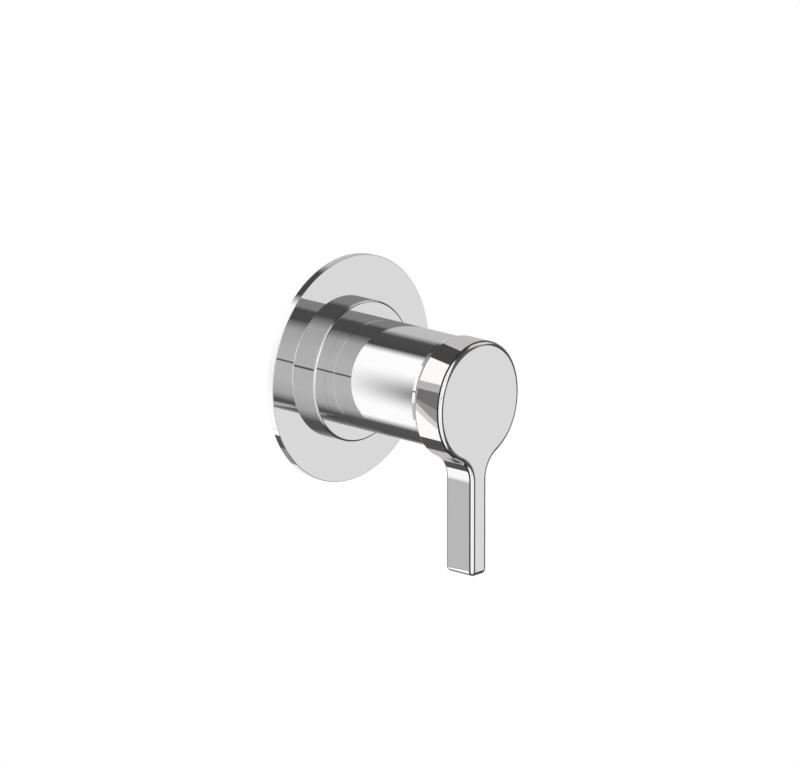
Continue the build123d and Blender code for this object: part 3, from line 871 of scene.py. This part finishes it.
class MIXER_OT_collar_ring(bpy.types.Operator):
    """Turn the collar that stands on the flange, with its spigot and the O-ring's groove"""

    bl_idname = "mixer.collar_ring"
    bl_label = "Collar"

    def execute(self, context):
        back, front = depths("collar_ring")
        seat = depths("wall_flange")[1]
        bore, rim = outer_radius("sleeve") + SHUT_GAP, outer_radius("collar_ring")
        spigot = bore_radius("wall_flange") - SLIP_FIT
        groove = outer_radius("collar_o_ring") + SLIP_FIT
        cord_back, cord_front = depths("collar_o_ring")
        corners = [
            (bore, front, 0),
            (rim, front, context.scene.mixer_sizes.collar_edge),
            (rim, seat, 0),
            (spigot, seat, 0),
            (spigot, back, 0),
            (bore, back, 0),
            (bore, cord_back - SLIP_FIT, 0),
            (groove, cord_back - SLIP_FIT, 0),
            (groove, cord_front + SLIP_FIT, 0),
            (bore, cord_front + SLIP_FIT, 0),
        ]
        turned_skin("collar_skin", corners, "collar_ring")
        return {"FINISHED"}


class MIXER_OT_sleeve(bpy.types.Operator):
    """Turn the sleeve over the valve's neck, with its inner lip and chamfered end"""

    bl_idname = "mixer.sleeve"
    bl_label = "Sleeve"

    def execute(self, context):
        back, front = depths("sleeve")
        lip_back, lip_front = depths("valve_body")[1], depths("cover_cap")[0]
        rim, lip = outer_radius("sleeve"), bore_radius("sleeve")
        bore = outer_radius("cover_cap") + CAP_GAP
        chamfer = context.scene.mixer_sizes.sleeve_chamfer
        corners = [
            (bore, front, 0),
            (rim - chamfer, front, 0),
            (rim, front - chamfer, 0),
            (rim, back, 0),
            (bore, back, 0),
            (bore, lip_back, 0),
            (lip, lip_back, 0),
            (lip, lip_front, 0),
            (bore, lip_front, 0),
        ]
        turned_skin("sleeve_skin", corners, "sleeve")
        return {"FINISHED"}


class MIXER_OT_handle(bpy.types.Operator):
    """Model the one-piece handle: round head, narrow blade, rounded edges and the hollow behind"""

    bl_idname = "mixer.handle"
    bl_label = "Handle"

    def execute(self, context):
        whole = handle_mesh(context.scene.mixer_sizes)
        piece = link("handle_skin", whole)
        cut(piece, handle_cutters())
        if len(piece.data.polygons) <= len(whole.polygons):
            raise RuntimeError("the handle's hollow wasn't cut")
        dress(piece, "handle")
        return {"FINISHED"}


class MIXER_OT_valve_body(bpy.types.Operator):
    """Thread the pipe mouths of the concealed brass body"""

    bl_idname = "mixer.valve_body"
    bl_label = "Valve body"

    def execute(self, context):
        dress(link("valve_body_threaded", threaded_body(context.scene.mixer_sizes)), "valve_body")
        return {"FINISHED"}


class MIXER_OT_inner_pieces(bpy.types.Operator):
    """Give every solid that is shown as it is the finish of its slot"""

    bl_idname = "mixer.inner_pieces"
    bl_label = "Seals and cartridge"

    def execute(self, context):
        for node, piece in frame["nodes"].items():
            if piece.hide_render:
                continue
            if not piece.material_slots:
                raise RuntimeError(f"{node} has no material slot")
            for place in piece.material_slots:
                place.material = material(SLOT_OF[node])
        return {"FINISHED"}


# Stage

# Sky light: angle about the valve's axis (0 right, 90 above, 180 left, 270 below) and brightness
LIGHT_BEHIND = [
    (0, 0.56), (49, 0.55), (65, 0.08), (98, 0.065), (111, 1.09),
    (251, 1.09), (268, 0.1), (305, 0.08), (340, 0.55), (360, 0.56),
]
LIGHT_BEFORE = [
    (0, 0.25), (42, 0.25), (53, 0.08), (84, 0.08), (109, 0.44), (148, 0.53), (212, 0.56), (249, 0.46),
    (272, 0.1), (298, 0.1), (334, 0.42), (337, 0.77), (341, 0.77), (344, 0.25), (360, 0.25),
]
LIGHT_BESIDE = [
    (0, 0.06), (14, 0.06), (20, 0.75), (58, 0.75), (66, 0.06),
    (98, 0.06), (106, 1.1), (256, 1.1), (264, 0.06), (360, 0.06),
]
LIGHT_ACROSS = [(0, 0.45), (22, 0.75), (60, 0.75), (70, 0.06), (290, 0.06), (332, 0.38), (360, 0.45)]
EDGE_LIGHT = [(0, 0.1), (96, 0.1), (104, 1.1), (258, 1.1), (268, 0.1), (360, 0.1)]
POLE_BEHIND = [(0, 0.12), (360, 0.12)]
POLE_BEFORE = [(0, 0.72), (360, 0.72)]
DARK_RING = [(0, 0.03), (360, 0.03)]

# Zones of the sky from the room's side to behind the wall: what they show and from which Y of the direction
SKY_ZONES = [
    (POLE_BEFORE, None),
    (EDGE_LIGHT, -0.992),
    (LIGHT_BEFORE, -0.72),
    (LIGHT_BESIDE, -0.60),
    (DARK_RING, -0.15),
    (LIGHT_ACROSS, -0.045),
    (DARK_RING, 0.045),
    (LIGHT_BEHIND, 0.61),
    (POLE_BEHIND, 0.72),
]
ZONE_BLEND = 0.006

# Dark seam between two soft boxes on the room's side: angle, half width, the Y where it ends and brightness
SEAM_ANGLE, SEAM_HALF_WIDTH, SEAM_END, SEAM_LIGHT = 176.5, 2.2, -0.6, 0.1

# Light ring behind the wall: its radius and the Y of its two rims
RING_RADIUS, RING_NEAR, RING_FAR = 0.3, 0.15, 0.26

# Light that the handle's sides mirror: start angle, its shift for each metre of depth, brightness
HANDLE_STEPS = [
    (60, 650, 0.065),
    (101, 450, 1.06),
    (152, 0, 0.5),
    (166, 0, 0.18),
    (183, 650, 0.32),
    (188, 1500, 0.68),
    (199, 1500, 1.08),
    (250, 0, 0.09),
    (285, 0, 0.55),
]
HANDLE_TINT = (1.02, 1.0, 0.99)

# Light that the flange's rim mirrors on its lower left, in the same form, and the angles where it fades
RIM_STEPS = [(236, 0, 1.09), (244, 0, 0.1), (261, 0, 0.3), (286, 0, 0.85)]
RIM_FADE_IN = (RIM_STEPS[0][0], RIM_STEPS[0][0] + 2)
RIM_FADE_OUT = (326, 332)

# Half the width of a step's blend, in degrees
STEP_BLEND = 0.7

# Where the ring's parts begin and end, as depths from the handle's back: handle, rim and the sleeve's shade
HANDLE_BEGIN, RIM_END, SHADE_BEGIN = (-0.0012, -0.0006), (-0.0325, -0.0315), -0.045

# Soft shade that the sleeve mirrors: its middle and half width in degrees, its strength and brightness
SHADE_ANGLE, SHADE_HALF_WIDTH, SHADE_STRENGTH, SHADE_LIGHT = 181.5, 41.0, 0.76, 0.03

# Glowing strip beside the blade that paints the blade's reflection: its X and its shifts from the handle's front,
# back and tip
REFLECTION_X, REFLECTION_FRONT, REFLECTION_BACK, REFLECTION_TIP = -0.006, 0.0028, 0.0023, 0.0015

# The strip's top, the height where its white ends, how softly, and its two brightnesses
REFLECTION_TOP, REFLECTION_WHITE_END, REFLECTION_BLEND = -0.0303, -0.0332, 0.0005
REFLECTION_WHITE, REFLECTION_GREY = 1.06, 0.53

# The wall panel lies just behind the wall face
WALL_SETBACK = 0.0004

# The camera's sensor in mm, and how far it sees in metres
SENSOR_WIDTH, SIGHT = 36, 100

# Kinds of rays that can see a piece
RAYS = ("camera", "diffuse", "glossy", "transmission", "volume_scatter", "shadow")


def ramp_stops(ramp, stops):
    """Set a colour ramp from (angle in degrees from 0 to 360, brightness) pairs."""
    while len(ramp.elements) > 1:
        ramp.elements.remove(ramp.elements[-1])
    for k, (angle, light) in enumerate(stops):
        place = ramp.elements[0] if k == 0 else ramp.elements.new(angle / 360)
        place.position = angle / 360
        place.color = (*grey(light), 1)


def studio_light(context):
    """Soft boxes and flags around the mixer as one sky, white where the camera looks straight at it."""
    world = bpy.data.worlds.new("studio")
    context.scene.world = world
    world.use_nodes = True
    tree = world.node_tree
    tree.nodes.clear()
    way = position(tree, "Generated")
    turn = turn_share(tree, way)
    sky = None
    for stops, start in SKY_ZONES:
        ramp = tree.nodes.new("ShaderNodeValToRGB")
        ramp_stops(ramp.color_ramp, stops)
        tree.links.new(turn, ramp.inputs["Fac"])
        if sky is None:
            sky = ramp.outputs["Color"]
            continue
        past = map_range(tree, way["Y"], start - ZONE_BLEND, start + ZONE_BLEND, smooth=True)
        sky = mix_colours(tree, past, sky, ramp.outputs["Color"])
    from_seam = math_node(tree, "ABSOLUTE", math_node(tree, "SUBTRACT", turn, SEAM_ANGLE / 360))
    seam = map_range(tree, from_seam, SEAM_HALF_WIDTH / 720, SEAM_HALF_WIDTH / 360, 1.0, 0.0)
    seam = math_node(tree, "MULTIPLY", seam, math_node(tree, "LESS_THAN", way["Y"], SEAM_END))
    sky = mix_colours(tree, seam, sky, grey(SEAM_LIGHT))
    light = add_node(tree, "ShaderNodeBackground", Strength=1.0)
    tree.links.new(sky, light.inputs["Color"])
    white = add_node(tree, "ShaderNodeBackground", Color=(1, 1, 1, 1), Strength=1.0)
    path = tree.nodes.new("ShaderNodeLightPath")
    show_mix(tree, path.outputs["Is Camera Ray"], light, white, "ShaderNodeOutputWorld")


def bare_material(name):
    """New material with an empty tree."""
    made = bpy.data.materials.new(name)
    made.use_nodes = True
    made.node_tree.nodes.clear()
    return made, made.node_tree


def one_sided(tree, glow):
    """Show a light's front and leave it clear from behind."""
    clear = tree.nodes.new("ShaderNodeBsdfTransparent")
    side = tree.nodes.new("ShaderNodeNewGeometry")
    show_mix(tree, side.outputs["Backfacing"], glow, clear)


def backdrop_material():
    """White paper in even light, seen from its front and clear from behind."""
    made, tree = bare_material("pale_backdrop")
    one_sided(tree, add_node(tree, "ShaderNodeEmission", Color=(1, 1, 1, 1), Strength=1.0))
    return made


def painted_reflection_material():
    """Glowing strip that paints the blade's reflection, white above a height and grey below it."""
    made, tree = bare_material("painted_blade_reflection")
    height = position(tree)["Z"]
    white = map_range(tree, height, REFLECTION_WHITE_END - REFLECTION_BLEND, REFLECTION_WHITE_END + REFLECTION_BLEND)
    glow = add_node(tree, "ShaderNodeEmission", Strength=1.0)
    tree.links.new(mix_colours(tree, white, grey(REFLECTION_GREY), grey(REFLECTION_WHITE)), glow.inputs["Color"])
    one_sided(tree, glow)
    return made


def stepped(tree, turn, depth, steps, tint):
    """Colour in sharp steps about the valve's axis. The last step's light also comes before the first."""
    colour = darker(tint, steps[-1][2])
    for first, shift, light in steps:
        edge = math_node(tree, "ADD", math_node(tree, "MULTIPLY", depth, shift), first)
        past = map_range(tree, math_node(tree, "SUBTRACT", turn, edge), -STEP_BLEND, STEP_BLEND)
        colour = mix_colours(tree, past, colour, darker(tint, light))
    return colour


def light_ring_material(forward):
    """Light ring: sharp bands for the handle's sides and the rim, soft shade for the sleeve, else clear.

    Sides along the axis mirror the view with its own rise in Y, so the place where a ray meets the ring tells
    the depth that it came from, and so the piece that mirrors it.
    """
    rise = forward.y / hypot(forward.x, forward.z)
    view_turn = degrees(atan2(-forward.z, -forward.x))
    mirror_radius = (outer_radius("sleeve") + outer_radius("handle")) / 2
    made, tree = bare_material("light_ring")
    at = position(tree)
    turn = math_node(tree, "MULTIPLY", turn_share(tree, at), 360.0)
    lean = math_node(tree, "MULTIPLY", math_node(tree, "SUBTRACT", turn, view_turn), radians(1) / 2)
    bulge = math_node(tree, "MULTIPLY", math_node(tree, "COSINE", lean), mirror_radius * rise)
    start = math_node(tree, "ADD", math_node(tree, "SUBTRACT", at["Y"], RING_RADIUS * rise), bulge)
    depth = math_node(tree, "MULTIPLY", math_node(tree, "ADD", start, depths("handle")[0]), -1.0)
    on_handle = map_range(tree, depth, *HANDLE_BEGIN)
    on_rim = map_range(tree, depth, *RIM_END, 1.0, 0.0)
    on_rim = math_node(tree, "MULTIPLY", on_rim, map_range(tree, turn, *RIM_FADE_IN))
    on_rim = math_node(tree, "MULTIPLY", on_rim, map_range(tree, turn, *RIM_FADE_OUT, 1.0, 0.0))
    rim_bands = stepped(tree, turn, depth, RIM_STEPS, grey(1.0))
    handle_bands = stepped(tree, turn, depth, HANDLE_STEPS, HANDLE_TINT)
    colour = mix_colours(tree, on_rim, grey(SHADE_LIGHT), rim_bands)
    colour = mix_colours(tree, on_handle, colour, handle_bands)
    from_middle = math_node(tree, "ABSOLUTE", math_node(tree, "SUBTRACT", turn, SHADE_ANGLE))
    fade = map_range(tree, from_middle, 0.0, SHADE_HALF_WIDTH, 1.0, 0.0, smooth=True)
    soft = map_range(tree, depth, SHADE_BEGIN, 0.0, 0.0, SHADE_STRENGTH)
    shown = math_node(tree, "MULTIPLY", soft, fade)
    for mask in (on_handle, on_rim):
        shown = math_node(tree, "MAXIMUM", shown, mask)
    glow = add_node(tree, "ShaderNodeEmission", Strength=1.0)
    tree.links.new(colour, glow.inputs["Color"])
    show_mix(tree, shown, tree.nodes.new("ShaderNodeBsdfTransparent"), glow)
    return made


def stage_sheet(name, made, verts, faces, seen_by):
    """Stage piece of one material that only one kind of ray sees."""
    mesh = bpy.data.meshes.new(name)
    mesh.from_pydata(verts, [], faces)
    mesh.materials.append(made)
    piece = link(name, mesh)
    for ray in RAYS:
        setattr(piece, f"visible_{ray}", ray == seen_by)


def pale_room(stage):
    """Wall panel with the opening that the valve stands in, and the floor, which only the camera sees."""
    paper = backdrop_material()
    verts = []
    for radius in (stage.wall_hole, stage.wall_width / 2):
        verts += [(x, WALL_SETBACK, z) for x, z in circle(radius, STAGE_STEPS)]
    stage_sheet("wall_panel", paper, verts, flipped(quads(2, STAGE_STEPS)), "camera")
    half, low = stage.floor_width / 2, -stage.floor_drop
    corners = [(-half, -half, low), (half, -half, low), (half, half, low), (-half, half, low)]
    stage_sheet("pale_floor", paper, corners, [(0, 1, 2, 3)], "camera")


def mirrored_cards(forward):
    """Light ring behind the wall and strip beside the blade painting its reflection, which only reflections see.
    """
    hoop = [(x, y, z) for y in (RING_NEAR, RING_FAR) for x, z in circle(RING_RADIUS, STAGE_STEPS)]
    stage_sheet("light_ring", light_ring_material(forward), hoop, flipped(quads(2, STAGE_STEPS)), "glossy")
    back, front = depths("handle")
    near, far = REFLECTION_FRONT - front, REFLECTION_BACK - back
    low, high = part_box("handle")[0].z + REFLECTION_TIP, REFLECTION_TOP
    # The strip glows and paints the blade's reflection: bright above a height, grey below it
    corners = [(REFLECTION_X, y, z) for y, z in ((near, low), (far, low), (far, high), (near, high))]
    stage_sheet("blade_reflector", painted_reflection_material(), corners, [(0, 1, 2, 3)], "glossy")


def photo_camera(context, forward):
    """Camera at its place, level and looking forward."""
    stage = context.scene.mixer_stage
    data = bpy.data.cameras.new("photo_camera")
    data.sensor_width = SENSOR_WIDTH
    data.lens = stage.camera_lens
    data.clip_end = SIGHT
    camera = bpy.data.objects.new("photo_camera", data)
    context.scene.collection.objects.link(camera)
    right = forward.cross(Vector((0, 0, 1))).normalized()
    place = Matrix((right, right.cross(forward), -forward)).transposed().to_4x4()
    place.translation = Vector(stage.camera_place)
    camera.matrix_world = place
    context.scene.camera = camera


class MIXER_OT_stage(bpy.types.Operator):
    """Set up the pale wall and floor, the studio light and the camera"""

    bl_idname = "mixer.stage"
    bl_label = "Stage"

    def execute(self, context):
        stage = context.scene.mixer_stage
        pan, tilt = stage.camera_pan, stage.camera_tilt
        forward = Vector((sin(pan) * cos(tilt), cos(pan) * cos(tilt), -sin(tilt)))
        pale_room(stage)
        mirrored_cards(forward)
        studio_light(context)
        photo_camera(context, forward)
        context.scene.view_settings.view_transform = "Standard"
        return {"FINISHED"}


PIECES = (
    MIXER_OT_wall_flange,
    MIXER_OT_collar_ring,
    MIXER_OT_sleeve,
    MIXER_OT_handle,
    MIXER_OT_valve_body,
    MIXER_OT_inner_pieces,
    MIXER_OT_stage,
)


class MIXER_PT_sidebar(bpy.types.Panel):
    """Lists the mixer's operators and the values they use"""

    bl_idname = "MIXER_PT_sidebar"
    bl_label = "Shower mixer"
    bl_space_type = "VIEW_3D"
    bl_region_type = "UI"
    bl_category = "Mixer"

    def draw(self, context):
        for operator in PIECES:
            self.layout.operator(operator.bl_idname)
        for group in (context.scene.mixer_sizes, context.scene.mixer_finish, context.scene.mixer_stage):
            box = self.layout.box()
            for name in group.__annotations__:
                box.prop(group, name)


GROUPS = {"mixer_sizes": MIXER_PG_sizes, "mixer_finish": MIXER_PG_finish, "mixer_stage": MIXER_PG_stage}
CLASSES = (*GROUPS.values(), *PIECES, MIXER_PT_sidebar)


def register():
    for made in CLASSES:
        bpy.utils.register_class(made)
    for name, group in GROUPS.items():
        setattr(bpy.types.Scene, name, PointerProperty(type=group))


def unregister():
    for name in GROUPS:
        delattr(bpy.types.Scene, name)
    for made in reversed(CLASSES):
        bpy.utils.unregister_class(made)


def main():
    register()
    bpy.ops.mixer.wall_flange()
    bpy.ops.mixer.collar_ring()
    bpy.ops.mixer.sleeve()
    bpy.ops.mixer.handle()
    bpy.ops.mixer.valve_body()
    bpy.ops.mixer.inner_pieces()
    bpy.ops.mixer.stage()


if __name__ == "__main__":
    main()
